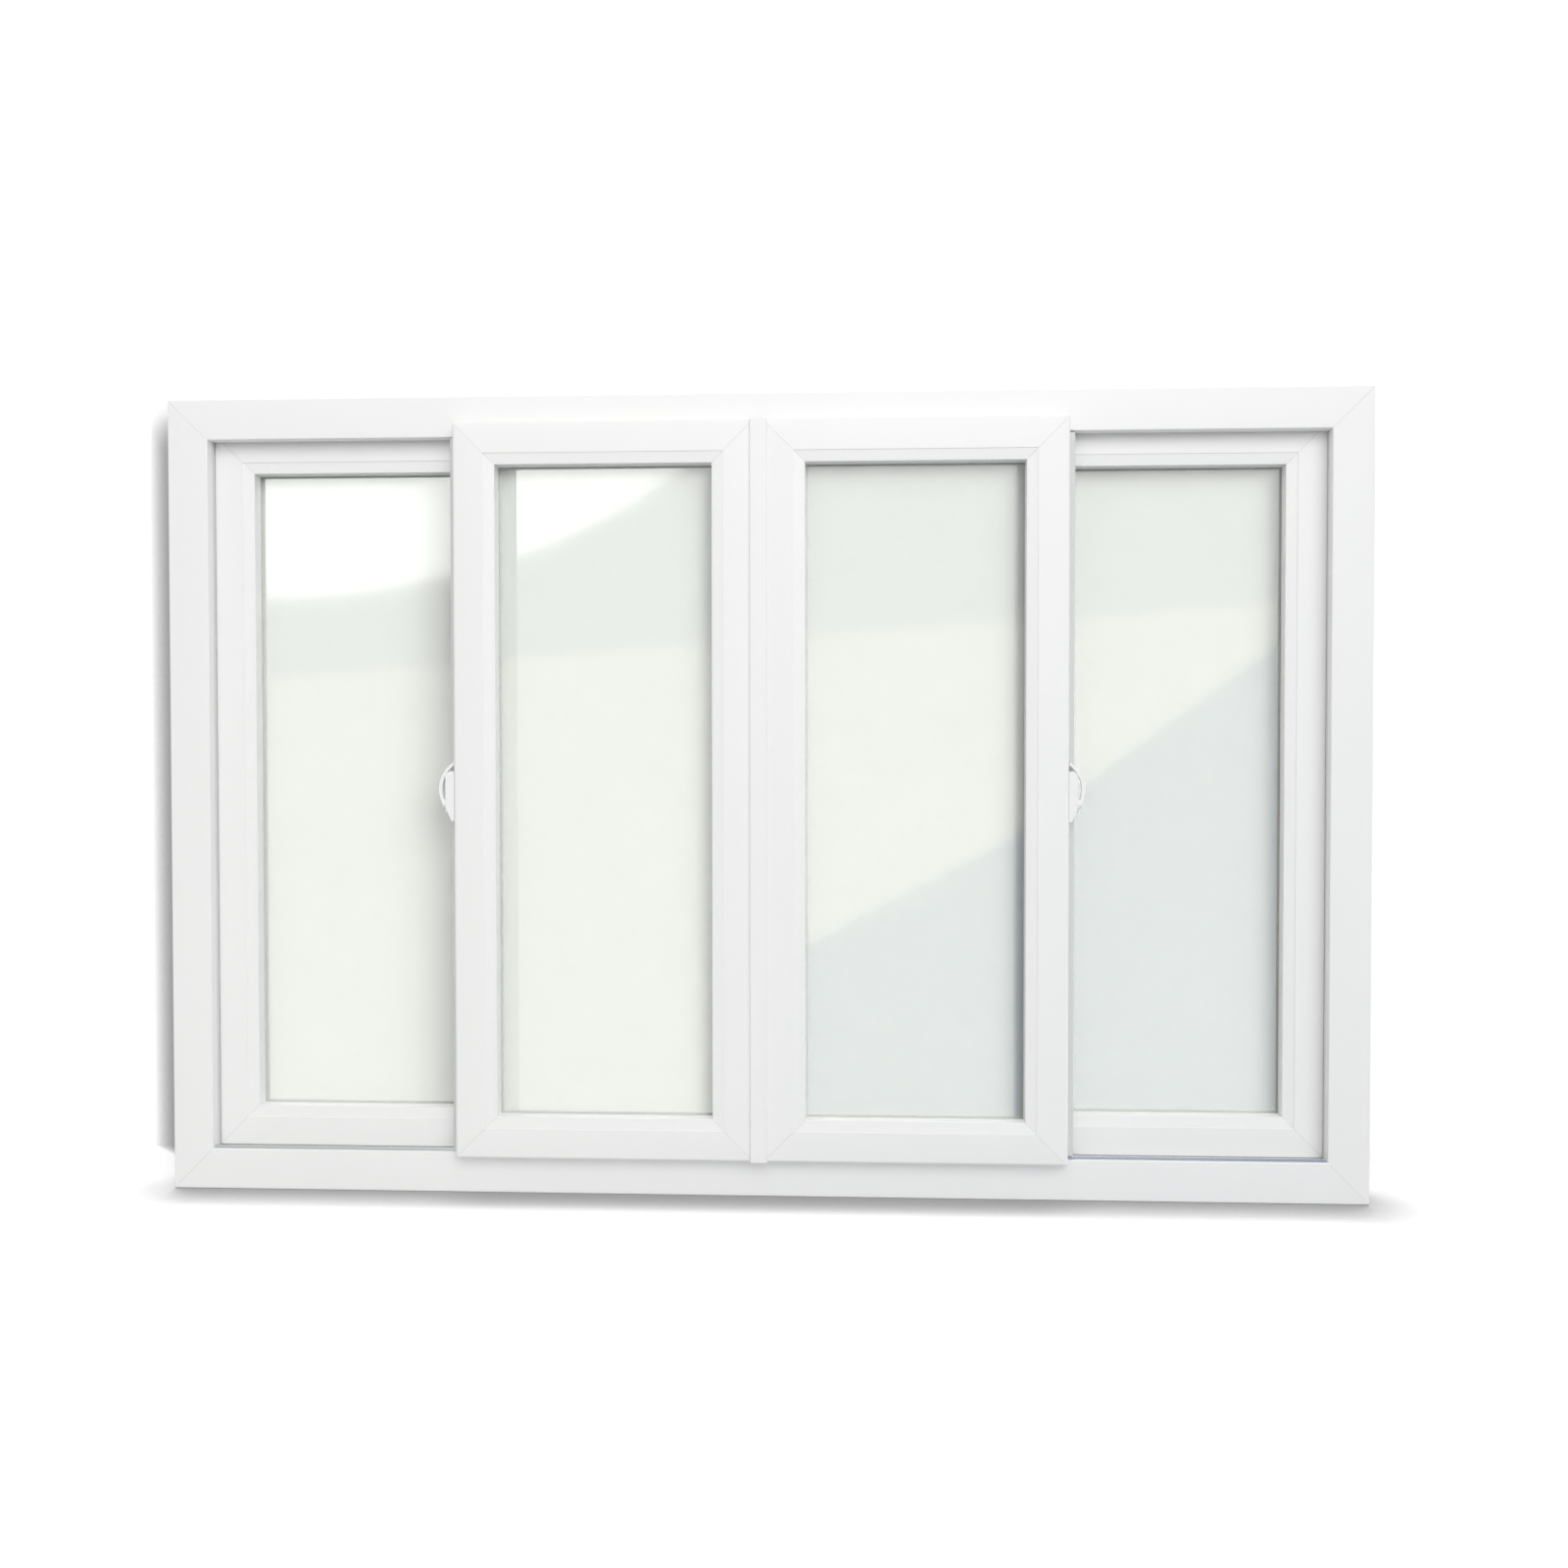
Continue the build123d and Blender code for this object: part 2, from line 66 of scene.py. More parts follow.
def hexLinear(code):
    # a channel c of the hex colour becomes c / 12.92 up to 0.04045, and above it
    # ((c + 0.055) / 1.055) to the power 2.4
    channels = np.array([int(code[i:i + 2], 16) for i in (1, 3, 5)]) / 255
    linear = np.where(channels <= 0.04045, channels / 12.92, ((channels + 0.055) / 1.055) ** 2.4)
    return (*linear.tolist(), 1.0)


def addNode(tree, kind, settings=None, links=None):
    # adds one shader node, sets its inputs or properties by name, and links the given outputs to its inputs
    node = tree.nodes.new(kind)
    for key, value in (settings or {}).items():
        if not isinstance(key, int) and hasattr(node, key):
            setattr(node, key, value)
        else:
            node.inputs[key].default_value = value
    for key, output in (links or {}).items():
        tree.links.new(output, node.inputs[key])
    return node


def startMaterial(name):
    # an empty node material with its output, ready for nodes
    material = bpy.data.materials.new(name)
    material.use_nodes = True
    material.node_tree.nodes.clear()
    return material, material.node_tree, addNode(material.node_tree, "ShaderNodeOutputMaterial")


# Rigid white PVC as it leaves the extruder: a satin skin with faint die lines along each bar
pvcSkin = {
    "clean": "#F6F6F5",
    "shaded": "#F3F3F2",
    "driftMm": 260,
    "driftSpan": (0.3, 0.7),
    "dieLineMm": 3.2,
    "dieLineLengthMm": 700,
    "dieLineDepthMm": 0.012,
    "peelMm": 5,
    "peelDepthMm": 0.006,
    "smoothest": 0.3,
    "roughest": 0.4,
    "ior": 1.53,
}


def extrudedPvc(name, lengthAxis):
    # die lines are a noise stretched along the bar, so that they end at each 45 degree weld as on a real
    # frame; tone and gloss drift together with a broad noise, and a fine one gives the skin its peel
    material, tree, surface = startMaterial(name)
    place = addNode(tree, "ShaderNodeTexCoord").outputs["Object"]
    stretch = [1000 / pvcSkin["dieLineMm"]] * 3
    stretch[lengthAxis] = 1000 / pvcSkin["dieLineLengthMm"]
    along = addNode(tree, "ShaderNodeMapping", {"vector_type": "POINT", "Scale": stretch}, {"Vector": place})
    dieLines = addNode(
        tree, "ShaderNodeTexNoise", {"Scale": 1.0, "Detail": 2.0}, {"Vector": along.outputs["Vector"]}
    )
    drift = addNode(
        tree, "ShaderNodeTexNoise", {"Scale": 1000 / pvcSkin["driftMm"], "Detail": 3.0}, {"Vector": place}
    )
    peel = addNode(
        tree, "ShaderNodeTexNoise", {"Scale": 1000 / pvcSkin["peelMm"], "Detail": 1.0}, {"Vector": place}
    )
    tone = addNode(
        tree,
        "ShaderNodeMix",
        {"data_type": "RGBA", 6: hexLinear(pvcSkin["clean"]), 7: hexLinear(pvcSkin["shaded"])},
        {0: drift.outputs["Fac"]},
    )
    gloss = addNode(
        tree,
        "ShaderNodeMapRange",
        {
            "From Min": pvcSkin["driftSpan"][0],
            "From Max": pvcSkin["driftSpan"][1],
            "To Min": pvcSkin["smoothest"],
            "To Max": pvcSkin["roughest"],
        },
        {"Value": drift.outputs["Fac"]},
    )
    peelBump = addNode(
        tree,
        "ShaderNodeBump",
        {"Strength": 1.0, "Distance": pvcSkin["peelDepthMm"] / 1000},
        {"Height": peel.outputs["Fac"]},
    )
    lineBump = addNode(
        tree,
        "ShaderNodeBump",
        {"Strength": 1.0, "Distance": pvcSkin["dieLineDepthMm"] / 1000},
        {"Height": dieLines.outputs["Fac"], "Normal": peelBump.outputs["Normal"]},
    )
    skin = addNode(
        tree,
        "ShaderNodeBsdfPrincipled",
        {"IOR": pvcSkin["ior"]},
        {
            "Base Color": tone.outputs[2],
            "Roughness": gloss.outputs["Result"],
            "Normal": lineBump.outputs["Normal"],
        },
    )
    tree.links.new(skin.outputs["BSDF"], surface.inputs["Surface"])
    return material


# Clear float glass in sealed units: almost no colour of its own, sharp reflections, and a thin pale haze
# that takes soft shadows. The index is above glass's 1.52 because the two sheets of each unit mirror the
# room one after the other.
glassBody = {"tint": "#F4F5F2", "shadowTint": "#FAFCFA", "clear": 0.74, "roughness": 0.05, "ior": 1.72}


def floatGlass(name):
    # lamps reach what is behind the glass through the transparent share, which only shadow rays see
    material, tree, surface = startMaterial(name)
    rays = addNode(tree, "ShaderNodeLightPath")
    pane = addNode(
        tree,
        "ShaderNodeBsdfPrincipled",
        {
            "Base Color": hexLinear(glassBody["tint"]),
            "Roughness": glassBody["roughness"],
            "IOR": glassBody["ior"],
            "Transmission Weight": glassBody["clear"],
        },
    )
    passed = addNode(tree, "ShaderNodeBsdfTransparent", {"Color": hexLinear(glassBody["shadowTint"])})
    mixed = addNode(
        tree,
        "ShaderNodeMixShader",
        None,
        {0: rays.outputs["Is Shadow Ray"], 1: pane.outputs["BSDF"], 2: passed.outputs["BSDF"]},
    )
    tree.links.new(mixed.outputs["Shader"], surface.inputs["Surface"])
    return material


# How far the grain of a plain finish moves its roughness, as a share, over the middle of the noise
grainGloss = {"span": (0.25, 0.75), "share": 0.15}


def plainFinish(name, colour, spotted, roughness, grainMm, bumpMm, metallic=0.0, ior=1.5):
    # one moulded, extruded or rolled surface: two close tones, the gloss and a fine bump, all from one noise
    # of the grain's size
    material, tree, surface = startMaterial(name)
    place = addNode(tree, "ShaderNodeTexCoord").outputs["Object"]
    grain = addNode(tree, "ShaderNodeTexNoise", {"Scale": 1000 / grainMm, "Detail": 3.0}, {"Vector": place})
    tone = addNode(
        tree,
        "ShaderNodeMix",
        {"data_type": "RGBA", 6: hexLinear(colour), 7: hexLinear(spotted)},
        {0: grain.outputs["Fac"]},
    )
    bump = addNode(
        tree, "ShaderNodeBump", {"Strength": 1.0, "Distance": bumpMm / 1000}, {"Height": grain.outputs["Fac"]}
    )
    gloss = addNode(
        tree,
        "ShaderNodeMapRange",
        {
            "From Min": grainGloss["span"][0],
            "From Max": grainGloss["span"][1],
            "To Min": roughness * (1 - grainGloss["share"]),
            "To Max": roughness * (1 + grainGloss["share"]),
        },
        {"Value": grain.outputs["Fac"]},
    )
    skin = addNode(
        tree,
        "ShaderNodeBsdfPrincipled",
        {"Metallic": metallic, "IOR": ior},
        {
            "Base Color": tone.outputs[2],
            "Roughness": gloss.outputs["Result"],
            "Normal": bump.outputs["Normal"],
        },
    )
    tree.links.new(skin.outputs["BSDF"], surface.inputs["Surface"])
    return material


pvcAcross = extrudedPvc("extrudedPvcAcross", 0)  # bars that lie along X
pvcUpright = extrudedPvc("extrudedPvcUpright", 2)  # bars that stand along Z
finishes = {
    # beads are a little more even than the bars, and catch a soft line of light along their edge
    "white_pvc_bead": plainFinish(
        "extrudedBeadPvc", "#F6F6F5", "#F2F2F1", 0.36, 5, 0.006, ior=pvcSkin["ior"]
    ),
    "clear_glass": floatGlass("clearFloatGlass"),
    # extruded rubber is matt, with a dusty look at its lips
    "gasket_rubber": plainFinish("greyGasketRubber", "#EAEAE8", "#E1E1DF", 0.7, 1.5, 0.03),
    # rolled strip has a bright, slightly brushed sheen inside the units
    "spacer_aluminium": plainFinish(
        "rolledSpacerAluminium", "#C9CACC", "#BBBCBF", 0.38, 2, 0.01, metallic=1.0
    ),
    # anodising leaves the rails pale, even and silky
    "rail_aluminium": plainFinish("anodisedRailAluminium", "#DEDFE1", "#D2D3D6", 0.3, 2, 0.01, metallic=1.0),
    # moulded nylon is waxy and a little yellow beside the PVC
    "roller_nylon": plainFinish("mouldedRollerNylon", "#E4E3DD", "#DAD9D2", 0.5, 2, 0.02),
    # the locks' plastic takes the polish of its mould, so it is the smoothest white on the window
    "lock_plastic": plainFinish("mouldedLockPlastic", "#F6F6F6", "#F1F1F1", 0.35, 3, 0.01),
    # packers are coloured by thickness, here blue grey, and matt
    "packer_plastic": plainFinish("mouldedPackerPlastic", "#5F6B78", "#566270", 0.5, 2, 0.02),
}
# the interlocks get a light grey, a little darker than the white sashes beside them
interlockPvc = plainFinish("extrudedInterlockPvc", "#DADCDB", "#D3D5D4", 0.4, 4, 0.01, ior=pvcSkin["ior"])
lyingBars = ("sill", "head", "rail", "covers")

# Small rounded edges on the plastic pieces, which also open the fine line of each weld
edgeRounding = {"widthMm": 0.8, "steps": 2, "fromDegrees": 38, "flatDegrees": 0.5}


def addPiece(name, mesh, material):
    # an object at the origin with its place in its mesh, carried by the window's one body
    mesh.materials.append(material)
    piece = bpy.data.objects.new(name, mesh)
    bpy.context.scene.collection.objects.link(piece)
    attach(piece, "root")
    return piece


def joinedCopy(name):
    # the node's loose triangles with their equal corners shared, and triangles in one plane made one face
    source = nodes[name].data
    places = np.empty(len(source.vertices) * 3, np.float32)
    source.vertices.foreach_get("co", places)
    cornerIds = np.empty(len(source.loops), np.int32)
    source.loops.foreach_get("vertex_index", cornerIds)
    micrometres = np.round(places.reshape(-1, 3).astype(float) * 1e6).astype(np.int64)
    shared, sameAs = np.unique(micrometres, axis=0, return_inverse=True)
    triangles = sameAs.reshape(-1)[cornerIds].reshape(-1, 3)
    whole = (np.diff(np.sort(triangles, axis=1), axis=1) > 0).all(axis=1)
    mesh = bpy.data.meshes.new(name + "_rounded")
    mesh.from_pydata((shared / 1e6).tolist(), [], triangles[whole].tolist())
    shape = bmesh.new()
    shape.from_mesh(mesh)
    bmesh.ops.dissolve_limit(
        shape,
        angle_limit=math.radians(edgeRounding["flatDegrees"]),
        verts=shape.verts[:],
        edges=shape.edges[:],
        use_dissolve_boundaries=False,
    )
    shape.to_mesh(mesh)
    shape.free()
    mesh.polygons.foreach_set("use_smooth", np.ones(len(mesh.polygons), bool))
    return mesh


for subpart in frame["record"]["subparts"]:
    name, slot = subpart["node"], subpart["material_slot"]
    finish = finishes.get(slot, pvcAcross if name.endswith(lyingBars) else pvcUpright)
    if name.startswith("interlocks"):
        finish = interlockPvc
    nodes[name].data.materials.clear()
    nodes[name].data.materials.append(finish)
    if slot.startswith("white_pvc") or slot == "lock_plastic":
        piece = addPiece(name + "_rounded", joinedCopy(name), finish)
        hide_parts(name)
        rounded = piece.modifiers.new("rounded", "BEVEL")
        rounded.width = edgeRounding["widthMm"] / 1000
        rounded.segments = edgeRounding["steps"]
        rounded.limit_method = "ANGLE"
        rounded.angle_limit = math.radians(edgeRounding["fromDegrees"])
        rounded.harden_normals = True
print("finishes given to", len(nodes), "nodes")


def outwardMesh(name, points, faces):
    # a mesh of closed shells, with every face turned outwards
    mesh = bpy.data.meshes.new(name)
    mesh.from_pydata(points.reshape(-1, 3).tolist(), [], faces)
    shape = bmesh.new()
    shape.from_mesh(mesh)
    bmesh.ops.recalc_face_normals(shape, faces=shape.faces[:])
    shape.to_mesh(mesh)
    shape.free()
    return mesh


# Pile weatherstrips between the frame and the rear sashes: frayed woven bands, a little uneven along the
# free edge. They stand on the front ridge and on the weather fin, and reach to both faces of the sash.
pile = {
    "thickMm": 3.0,
    "insetMm": 0.5,
    "stepMm": 2.5,
    "frayMm": 0.35,
    "seed": 7,
    "frameFaceMm": 61,
    "roomBaseMm": -23.9,
    "outsideBaseMm": 34.9,
    "tipGapMm": 0.2,
    "innerEndMm": 470,
}
# woven pile is matt, with the shade between its tufts
pileFibre = plainFinish("wovenPileFibre", "#EFEFEE", "#D4D5D4", 0.9, 0.9, 0.2)


def pileBand(name, start, end, outwards, baseY, tipY):
    # rows along the line from start to end, and in each the points of a rounded section: its first number
    # is the share of the thickness in the direction outwards, its second the share of the way from baseY
    # to tipY; a random share of the fray shortens the upper points
    start, end, outwards = (np.array(v, float) for v in (start, end, outwards))
    chance = np.random.default_rng(pile["seed"])
    length = np.linalg.norm(end - start)
    rows = int(length * 1000 / pile["stepMm"]) + 1
    section = np.array([(0, 0), (0, 0.6), (0.12, 0.93), (0.5, 1.0), (0.88, 0.93), (1, 0.6), (1, 0)])
    across = (section[:, 0] * pile["thickMm"] + pile["insetMm"]) / 1000
    reachY = np.repeat((baseY + section[:, 1] * (tipY - baseY))[None], rows, axis=0)
    fray = chance.uniform(-1, 0, (rows, len(section))) * pile["frayMm"] / 1000 * np.sign(tipY - baseY)
    reachY = reachY + fray * (section[:, 1] > 0.5)
    along = np.linspace(0, 1, rows)[:, None, None]
    points = start + (end - start) * along + outwards * across[None, :, None]
    points[:, :, 1] = reachY
    ids = np.arange(rows * len(section)).reshape(rows, len(section))
    around = np.roll(ids, -1, axis=1)
    quads = np.stack([ids[:-1], ids[1:], around[1:], around[:-1]], axis=-1).reshape(-1, 4)
    mesh = outwardMesh(name, points, quads.tolist() + [ids[0].tolist(), ids[-1][::-1].tolist()])
    addPiece(name, mesh, pileFibre)


frameFace = pile["frameFaceMm"] / 1000
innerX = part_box("frame_sill")[1].x - frameFace
innerLow, innerHigh = frameFace, cadBox[1].z - frameFace
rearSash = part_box("sash_1_left_stile")
roomSide = (pile["roomBaseMm"] / 1000, rearSash[0].y - pile["tipGapMm"] / 1000)
outSide = (pile["outsideBaseMm"] / 1000, rearSash[1].y + pile["tipGapMm"] / 1000)
for hand, word in ((-1, "left"), (1, "right")):
    edge, meeting = hand * innerX, hand * pile["innerEndMm"] / 1000
    low, high = (edge, 0, innerLow), (edge, 0, innerHigh)
    for side, baseAndTip in (("room", roomSide), ("outside", outSide)):
        pileBand(f"pile_jamb_{word}_{side}", low, high, (hand, 0, 0), *baseAndTip)
        pileBand(f"pile_sill_{word}_{side}", low, (meeting, 0, innerLow), (0, 0, -1), *baseAndTip)
        pileBand(f"pile_head_{word}_{side}", high, (meeting, 0, innerHigh), (0, 0, 1), *baseAndTip)
print("weatherstrips ready")

# Cleaned corner welds: a shallow trapezoid line at 45 degrees over each mitre, on both faces of the window
weld = {
    "widthMm": 1.5,
    "topShare": 0.4,
    "heightMm": 0.12,
    "frameFromToMm": (3, 58),
    "sashFromToMm": (6, 45),
}
# the knife leaves the weld a little duller and greyer than the skin
weldPvc = plainFinish("cleanedWeldPvc", "#ECEDEC", "#E4E5E4", 0.45, 2, 0.02, ior=pvcSkin["ior"])


def weldLines(name, low, high, fromToMm):
    # for each face and each corner of the box, a prism whose two ends lie on the line at 45 degrees
    # inwards from the corner; an end's four points go sideways by the width and stand away from the face
    # by the height at the top two
    turns = np.array([(1, 1), (-1, 1), (1, -1), (-1, -1)], float)
    inwards = np.insert(turns, 1, 0, axis=1) / math.sqrt(2)
    sideways = inwards[:, ::-1] * (1, 0, -1)
    faceY, away = np.array([low.y, high.y]), np.array([-1, 1])
    corners = np.empty((2, 4, 3))
    corners[:, :, 0] = np.where(turns[:, 0] > 0, low.x, high.x)
    corners[:, :, 1] = faceY[:, None]
    corners[:, :, 2] = np.where(turns[:, 1] > 0, low.z, high.z)
    distance = np.array(fromToMm)[:, None] * math.sqrt(2) / 1000
    across = np.array([-1, -weld["topShare"], weld["topShare"], 1])[:, None] * weld["widthMm"] / 2000
    ends = (inwards[:, None] * distance)[:, :, None]
    points = corners[:, :, None, None] + ends + sideways[:, None, None] * across
    points[..., 1] += away[:, None, None, None] * np.array([0, 1, 1, 0]) * weld["heightMm"] / 1000
    prism = np.array([(0, 1, 5, 4), (1, 2, 6, 5), (2, 3, 7, 6), (0, 3, 2, 1), (4, 5, 6, 7), (0, 4, 7, 3)])
    faces = prism + np.arange(0, points.size // 3, 8)[:, None, None]
    addPiece(name, outwardMesh(name, points, faces.reshape(-1, 4).tolist()), weldPvc)


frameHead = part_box("frame_head")
weldLines(
    "weld_frame",
    Vector((cadBox[0].x, frameHead[0].y, cadBox[0].z)),
    Vector((cadBox[1].x, frameHead[1].y, cadBox[1].z)),
    weld["frameFromToMm"],
)
for number in "1234":
    left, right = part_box(f"sash_{number}_left_stile"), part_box(f"sash_{number}_right_stile")
    farCorner = Vector((right[1].x, left[1].y, left[1].z))
    weldLines("weld_sash_" + number, left[0], farCorner, weld["sashFromToMm"])
print("corner welds ready")

# The room: a white floor and a white wall with an opening behind the window, in metres
room = {"reach": 7.0, "floorZ": -0.0005, "wallY": 0.046, "wallTop": 6.0, "holeInset": 0.01}
stagePaint = {"lift": 0.2, "bounce": "#C4C4C5"}
# Its painted soft shadow close to the window: how far it reaches, how deep it is and the direction that it
# looks for the window
contactShadow = {
    "samples": 12,
    "deepest": 0.28,
    "floor": {"reachMm": 82, "depth": 1.0, "rise": 0.0, "facing": (-0.1, 0.9, 0.35)},
    "wall": {"reachMm": 80, "depth": 5.0, "rise": 2.0, "facing": (0.68, -0.15, 0.72)},
}


def stageMaterial(name, shadow):
    # lit white for the camera, greyer for the light it throws back, plain white through glass and in
    # mirrors, and clear from behind and after a reflection so that no view is blocked
    material, tree, surface = startMaterial(name)
    rays = addNode(tree, "ShaderNodeLightPath")
    side = addNode(tree, "ShaderNodeNewGeometry")
    lift = addNode(
        tree,
        "ShaderNodeMath",
        {"operation": "MULTIPLY", 1: stagePaint["lift"]},
        {0: rays.outputs["Is Camera Ray"]},
    )
    # the paint darkens where the window stands within reach in the direction given, as a shadow close to
    # it does: white is multiplied by the open share of that direction, raised to the power of depth, but
    # not below deepest; with a rise, the reach is no more than rise times the height, so that the corner
    # with the floor stays white
    place = addNode(tree, "ShaderNodeTexCoord").outputs["Object"]
    height = addNode(tree, "ShaderNodeSeparateXYZ", None, {"Vector": place}).outputs["Z"]
    clearOfFloor = addNode(
        tree,
        "ShaderNodeMath",
        {"operation": "MULTIPLY_ADD", 1: shadow["rise"], 2: 0.0 if shadow["rise"] else 1.0},
        {0: height},
    )
    within = addNode(
        tree,
        "ShaderNodeMath",
        {"operation": "MINIMUM", 1: shadow["reachMm"] / 1000},
        {0: clearOfFloor.outputs["Value"]},
    )
    facing = addNode(tree, "ShaderNodeCombineXYZ", dict(zip("XYZ", shadow["facing"])))
    occluded = addNode(
        tree,
        "ShaderNodeAmbientOcclusion",
        {"samples": contactShadow["samples"]},
        {"Normal": facing.outputs["Vector"], "Distance": within.outputs["Value"]},
    )
    deepened = addNode(
        tree, "ShaderNodeMath", {"operation": "POWER", 1: shadow["depth"]}, {0: occluded.outputs["AO"]}
    )
    shaded = addNode(
        tree,
        "ShaderNodeMath",
        {"operation": "MAXIMUM", 1: contactShadow["deepest"]},
        {0: deepened.outputs["Value"]},
    )
    tone = addNode(
        tree,
        "ShaderNodeMix",
        {"data_type": "RGBA", 6: hexLinear(stagePaint["bounce"])},
        {0: rays.outputs["Is Camera Ray"], 7: shaded.outputs["Value"]},
    )
    paint = addNode(tree, "ShaderNodeBsdfDiffuse", None, {"Color": tone.outputs[2]})
    glow = addNode(
        tree,
        "ShaderNodeEmission",
        None,
        {"Color": shaded.outputs["Value"], "Strength": lift.outputs["Value"]},
    )
    lit = addNode(tree, "ShaderNodeAddShader", None, {0: paint.outputs["BSDF"], 1: glow.outputs["Emission"]})
    mirrored = addNode(
        tree,
        "ShaderNodeMath",
        {"operation": "MAXIMUM"},
        {0: rays.outputs["Is Glossy Ray"], 1: rays.outputs["Is Transmission Ray"]},
    )
    plain = addNode(tree, "ShaderNodeEmission", {"Strength": 1.0})
    front = addNode(
        tree,
        "ShaderNodeMixShader",
        None,
        {0: mirrored.outputs["Value"], 1: lit.outputs["Shader"], 2: plain.outputs["Emission"]},
    )
    clear = addNode(tree, "ShaderNodeBsdfTransparent")
    unseen = addNode(
        tree,
        "ShaderNodeMath",
        {"operation": "ADD", "use_clamp": True},
        {0: side.outputs["Backfacing"], 1: rays.outputs["Glossy Depth"]},
    )
    both = addNode(
        tree,
        "ShaderNodeMixShader",
        None,
        {0: unseen.outputs["Value"], 1: front.outputs["Shader"], 2: clear.outputs["BSDF"]},
    )
    tree.links.new(both.outputs["Shader"], surface.inputs["Surface"])
    return material


def flatSheet(name, outlines, material):
    # a flat face through the corners of each outline, which run anticlockwise as seen from its front
    corners = [corner for outline in outlines for corner in outline]
    ends = np.cumsum([len(outline) for outline in outlines]).tolist()
    mesh = bpy.data.meshes.new(name)
    mesh.from_pydata(corners, [], [range(end - len(outline), end) for outline, end in zip(outlines, ends)])
    mesh.materials.append(material)
    sheet = bpy.data.objects.new(name, mesh)
    bpy.context.scene.collection.objects.link(sheet)
    return sheet


floorPaint = stageMaterial("whiteFloorPaint", contactShadow["floor"])
wallPaint = stageMaterial("whiteWallPaint", contactShadow["wall"])
reach, floorZ, wallY, wallTop = room["reach"], room["floorZ"], room["wallY"], room["wallTop"]
floorCorners = [(x * reach, y * reach, floorZ) for x, y in ((-1, -1), (1, -1), (1, 1), (-1, 1))]
flatSheet("floor", [floorCorners], floorPaint)
# the wall is three panels, left of the opening, above it and right of it
holeSide, holeTop = cadBox[1].x - room["holeInset"], cadBox[1].z - room["holeInset"]
panels = ((-reach, -holeSide, floorZ), (-holeSide, holeSide, holeTop), (holeSide, reach, floorZ))
wall = flatSheet(
    "wall",
    [((x0, wallY, z0), (x1, wallY, z0), (x1, wallY, wallTop), (x0, wallY, wallTop)) for x0, x1, z0 in panels],
    wallPaint,
)
wall.visible_shadow = False

# What the glass mirrors: a bright screen, the darker ceiling and a dim corner of the room. Each card
# stands at its own y, the later ones nearer the window, and has its tone and the x and z of its corners,
# in metres.
reflectedShapes = {
    "screenCard": ("#FBFFF8", -4.0, ((-6, -5), (6, -5), (6, 6), (-6, 6))),
    "ceilingCard": ("#C2C9CF", -3.99, ((-6, 0.786), (6, 1.633), (6, 6), (-6, 6))),
    "cornerCard": (
        "#5D86BC",
        -3.98,
        ((-0.39, -5), (6, -5), (6, 4.1), (1.957, 1.202), (0.757, 0.326), (-0.176, -0.174), (-0.39, -0.3)),
    ),
}
for cardName, (tone, cardY, outline) in reflectedShapes.items():
    # glows for rays that a surface has mirrored at least once, and lets every other ray through
    cardMaterial, tree, surface = startMaterial(cardName + "Paint")
    rays = addNode(tree, "ShaderNodeLightPath")
    wasMirrored = addNode(
        tree, "ShaderNodeMath", {"operation": "GREATER_THAN", 1: 0.5}, {0: rays.outputs["Glossy Depth"]}
    )
    glow = addNode(tree, "ShaderNodeEmission", {"Color": hexLinear(tone), "Strength": 1.0})
    through = addNode(tree, "ShaderNodeBsdfTransparent")
    shown = addNode(
        tree,
        "ShaderNodeMixShader",
        None,
        {0: wasMirrored.outputs["Value"], 1: through.outputs["BSDF"], 2: glow.outputs["Emission"]},
    )
    tree.links.new(shown.outputs["Shader"], surface.inputs["Surface"])
    card = flatSheet(cardName, [[(x, cardY, z) for x, z in outline[::-1]]], cardMaterial)
    card.visible_camera = False
    card.visible_diffuse = False
    card.visible_shadow = False
print("stage ready")

# Soft daylight from the upper right of the room, a high screen lamp that fades downwards, and a weak
# outside light. The panes have a daylight of their own, lower and more from the side, and the others
# leave them out. A sun's size is its angle in radians, and the screen's is its width and height in
# metres.
sunPlace = (0, 0, 3)
lamps = {
    "daylight": {"towards": (-0.4, 1.0, -0.5), "strength": 1.15, "angle": 0.9, "panes": False},
    "paneLight": {"towards": (-0.75, 1.0, -0.6), "strength": 2.1, "angle": 0.7, "panes": True},
    "outsideLight": {"towards": (0.5, -1.0, -0.7), "strength": 0.9, "angle": 0.9},
    "highScreen": {
        "towards": (0, 2.2, -1.5),
        "strength": 13,
        "size": (2.7, 1.5),
        "place": (0, -2.3, 2.2),
        "panes": False,
    },
}
paneSets = {}
for wanted, state in ((True, "INCLUDE"), (False, "EXCLUDE")):
    paneSets[wanted] = bpy.data.collections.new("panes" + state.capitalize())
    for name, node in nodes.items():
        if name.startswith("glass_") and name[-1].isdigit():
            paneSets[wanted].objects.link(node)
    for member in paneSets[wanted].collection_objects:
        member.light_linking.link_state = state
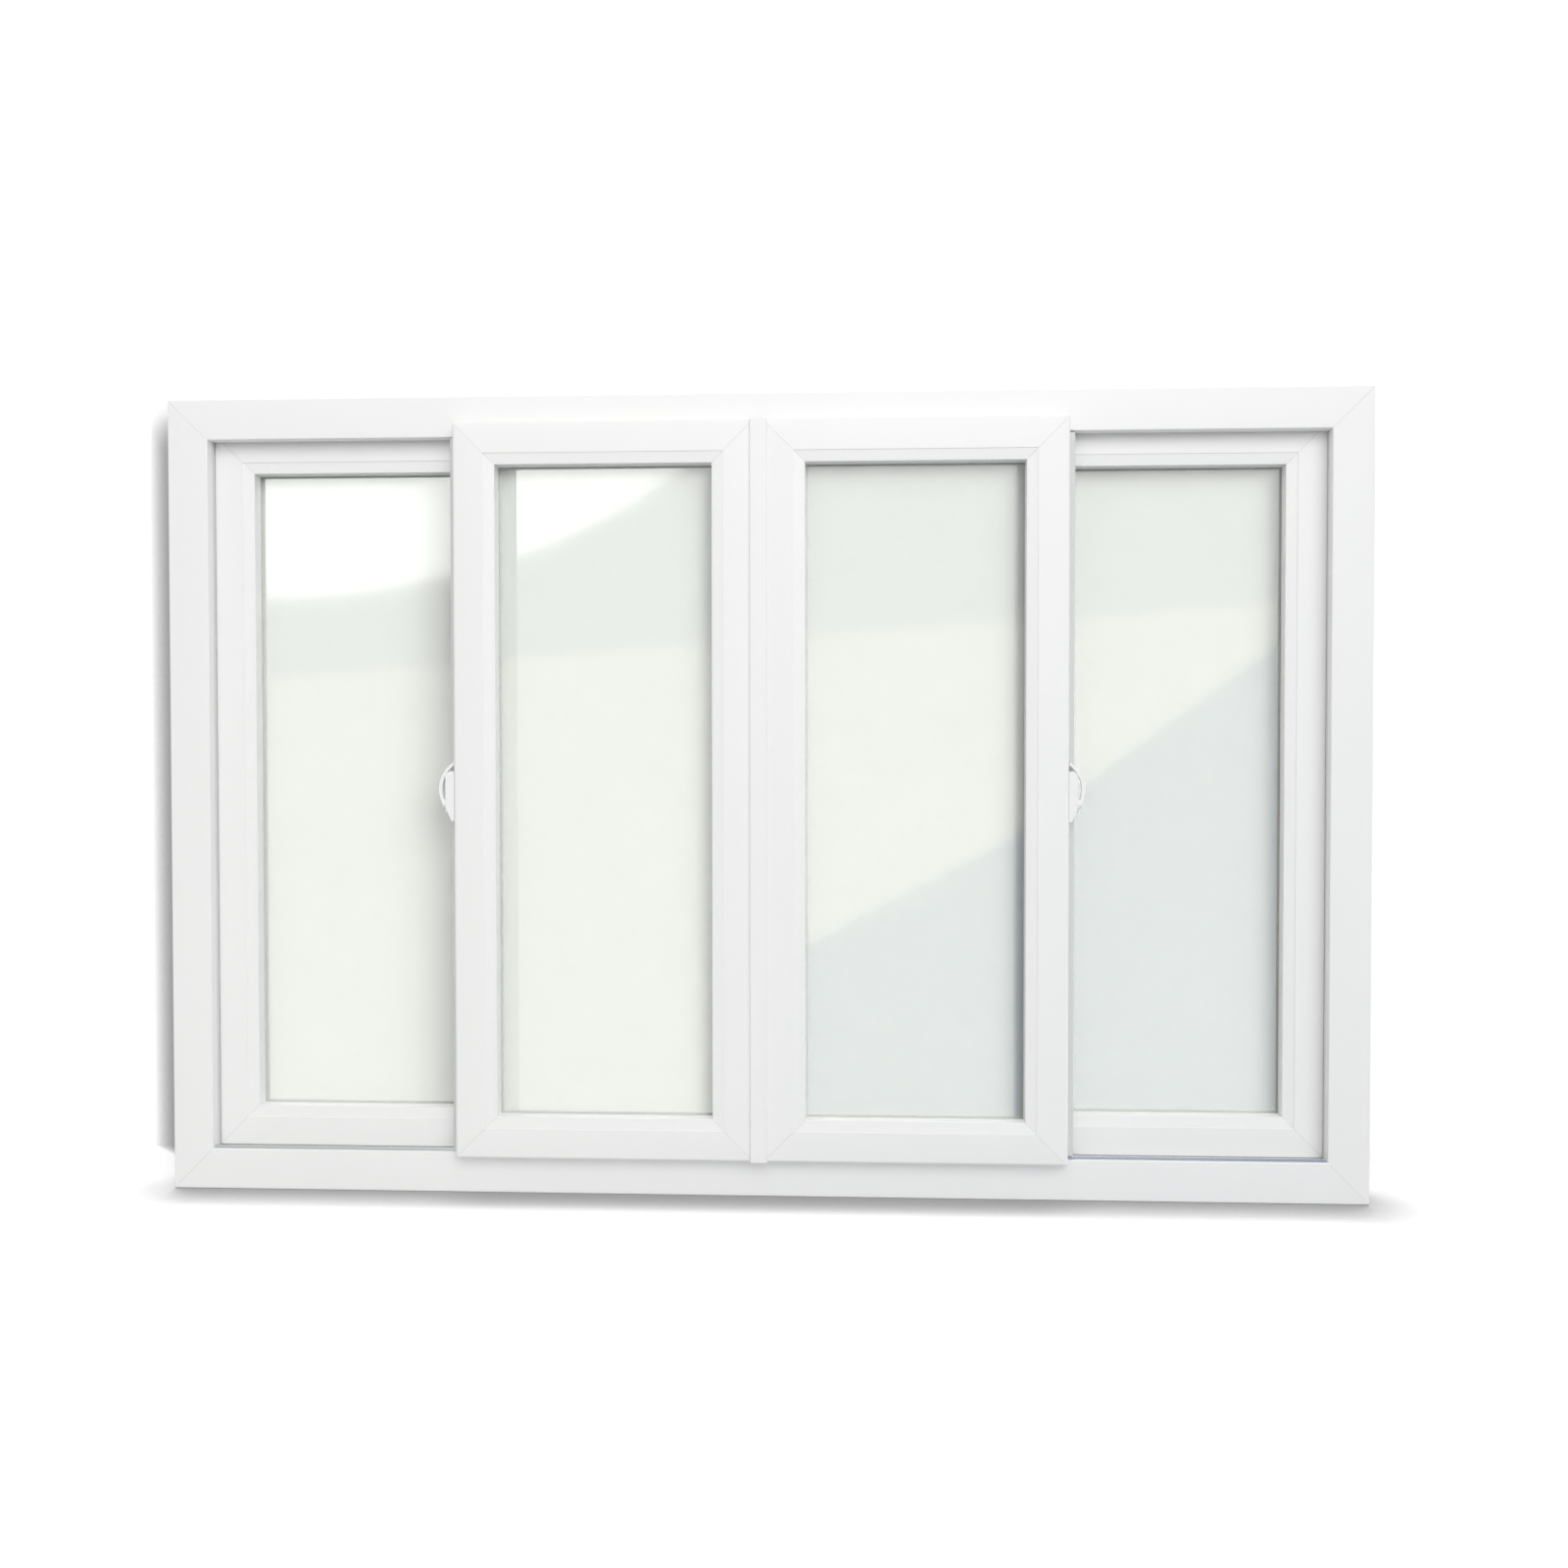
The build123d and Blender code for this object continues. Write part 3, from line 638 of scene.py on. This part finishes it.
for lampName, lamp in lamps.items():
    light = bpy.data.lights.new(lampName, "AREA" if "size" in lamp else "SUN")
    light.energy = lamp["strength"]
    if "size" in lamp:
        light.shape = "RECTANGLE"
        light.size, light.size_y = lamp["size"]
    else:
        light.angle = lamp["angle"]
    holder = bpy.data.objects.new(lampName, light)
    holder.location = lamp.get("place", sunPlace)
    holder.rotation_euler = Vector(lamp["towards"]).to_track_quat("-Z", "Y").to_euler()
    if "panes" in lamp:
        holder.light_linking.receiver_collection = paneSets[lamp["panes"]]
    bpy.context.scene.collection.objects.link(holder)

# A white sky for the camera, in mirrors and through glass, and a dimmer one as a source of light
skyLevel = 0.55
world = bpy.data.worlds.new("whiteRoom")
bpy.context.scene.world = world
world.use_nodes = True
world.node_tree.nodes.clear()
tree = world.node_tree
rays = addNode(tree, "ShaderNodeLightPath")
seen = addNode(
    tree,
    "ShaderNodeMath",
    {"operation": "MAXIMUM"},
    {0: rays.outputs["Is Camera Ray"], 1: rays.outputs["Is Glossy Ray"]},
)
seenToo = addNode(
    tree,
    "ShaderNodeMath",
    {"operation": "MAXIMUM"},
    {0: seen.outputs["Value"], 1: rays.outputs["Is Transmission Ray"]},
)
level = addNode(
    tree, "ShaderNodeMapRange", {"To Min": skyLevel, "To Max": 1.0}, {"Value": seenToo.outputs["Value"]}
)
sky = addNode(
    tree, "ShaderNodeBackground", {"Color": hexLinear("#FFFFFF")}, {"Strength": level.outputs["Result"]}
)
skyOut = addNode(tree, "ShaderNodeOutputWorld")
tree.links.new(sky.outputs["Background"], skyOut.inputs["Surface"])

# Camera fitted to the photograph's edges, in metres and radians
view = {
    "place": (0.198, -2.040, 0.658),
    "down": 0.0194,
    "left": 0.0446,
    "lensMm": 30.87,
    "sensorMm": 36,
    "shiftX": -0.031,
}
camera = bpy.data.cameras.new("photoCamera")
camera.lens = view["lensMm"]
camera.sensor_width = view["sensorMm"]
camera.shift_x = view["shiftX"]
cameraHolder = bpy.data.objects.new("photoCamera", camera)
cameraHolder.location = view["place"]
cameraHolder.rotation_euler = (math.pi / 2 - view["down"], 0, view["left"])
bpy.context.scene.collection.objects.link(cameraHolder)
bpy.context.scene.camera = cameraHolder
bpy.context.scene.view_settings.view_transform = "Standard"
print("camera and lamps ready")
